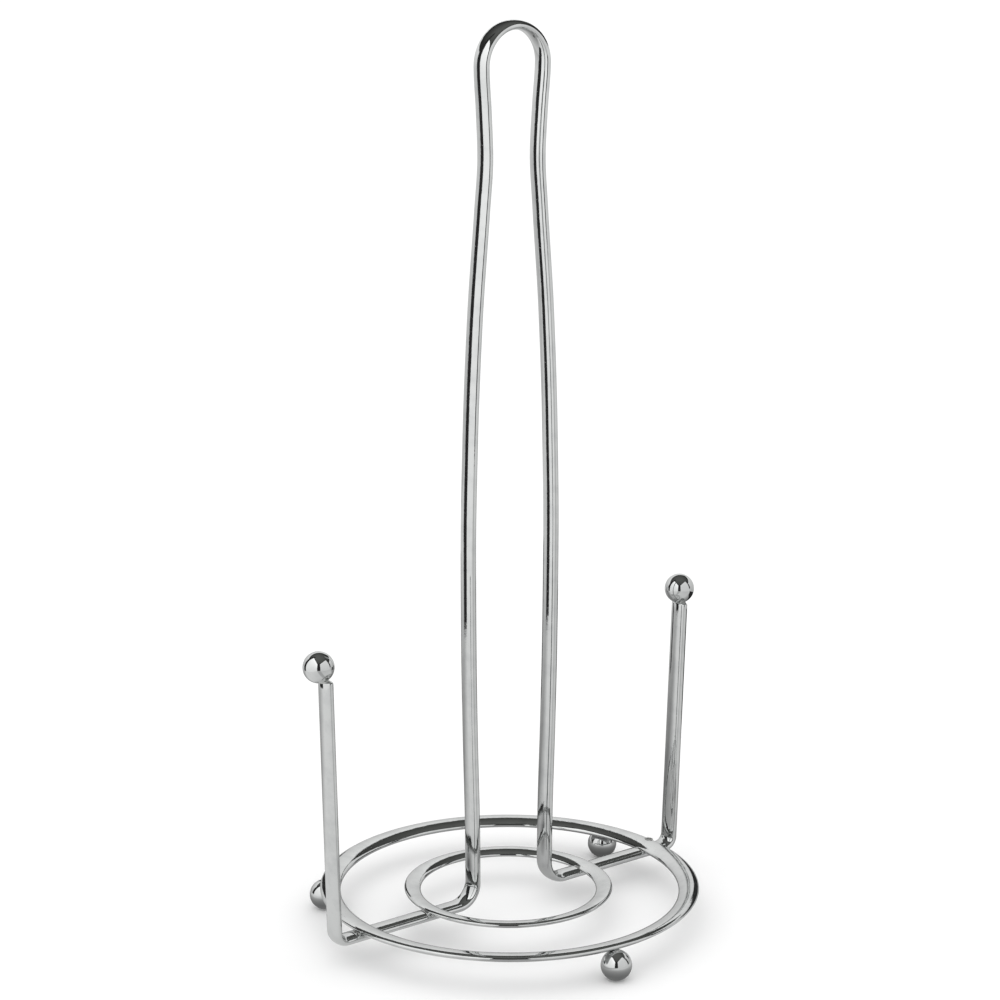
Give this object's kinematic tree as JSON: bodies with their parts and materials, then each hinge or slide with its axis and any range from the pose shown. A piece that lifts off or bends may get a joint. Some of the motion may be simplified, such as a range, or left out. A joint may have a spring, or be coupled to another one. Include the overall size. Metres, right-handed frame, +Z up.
{
  "type": "paper towel holder",
  "caption": "Free-standing chrome paper towel holder: a tall bent-strip loop on concentric base rings, with a short ball-topped post on each side and ball feet.",
  "frame": {"origin": "middle of the footprint's bounding box, on the surface that the feet stand on", "axes": "+Z up along the loop; +X along the crossbars towards the right post; +Y from front to back, square to the loop's plane"},
  "size_m": [0.184, 0.1505, 0.3433],
  "materials": {
    "frame_chrome": "bright chrome plating over drawn flat strip steel, faintly streaked along its length",
    "ring_chrome": "bright chrome plating over drawn flat strip steel, faintly streaked round the ring",
    "ball_chrome": "bright, smooth chrome plating over a steel ball"
  },
  "bodies": {
    "root": {"strip_frame": "frame_chrome", "outer_ring": "ring_chrome", "inner_ring": "ring_chrome", "finial_left": "ball_chrome", "finial_right": "ball_chrome", "foot_left": "ball_chrome", "foot_back": "ball_chrome", "foot_front": "ball_chrome"}
  },
  "joints": []
}
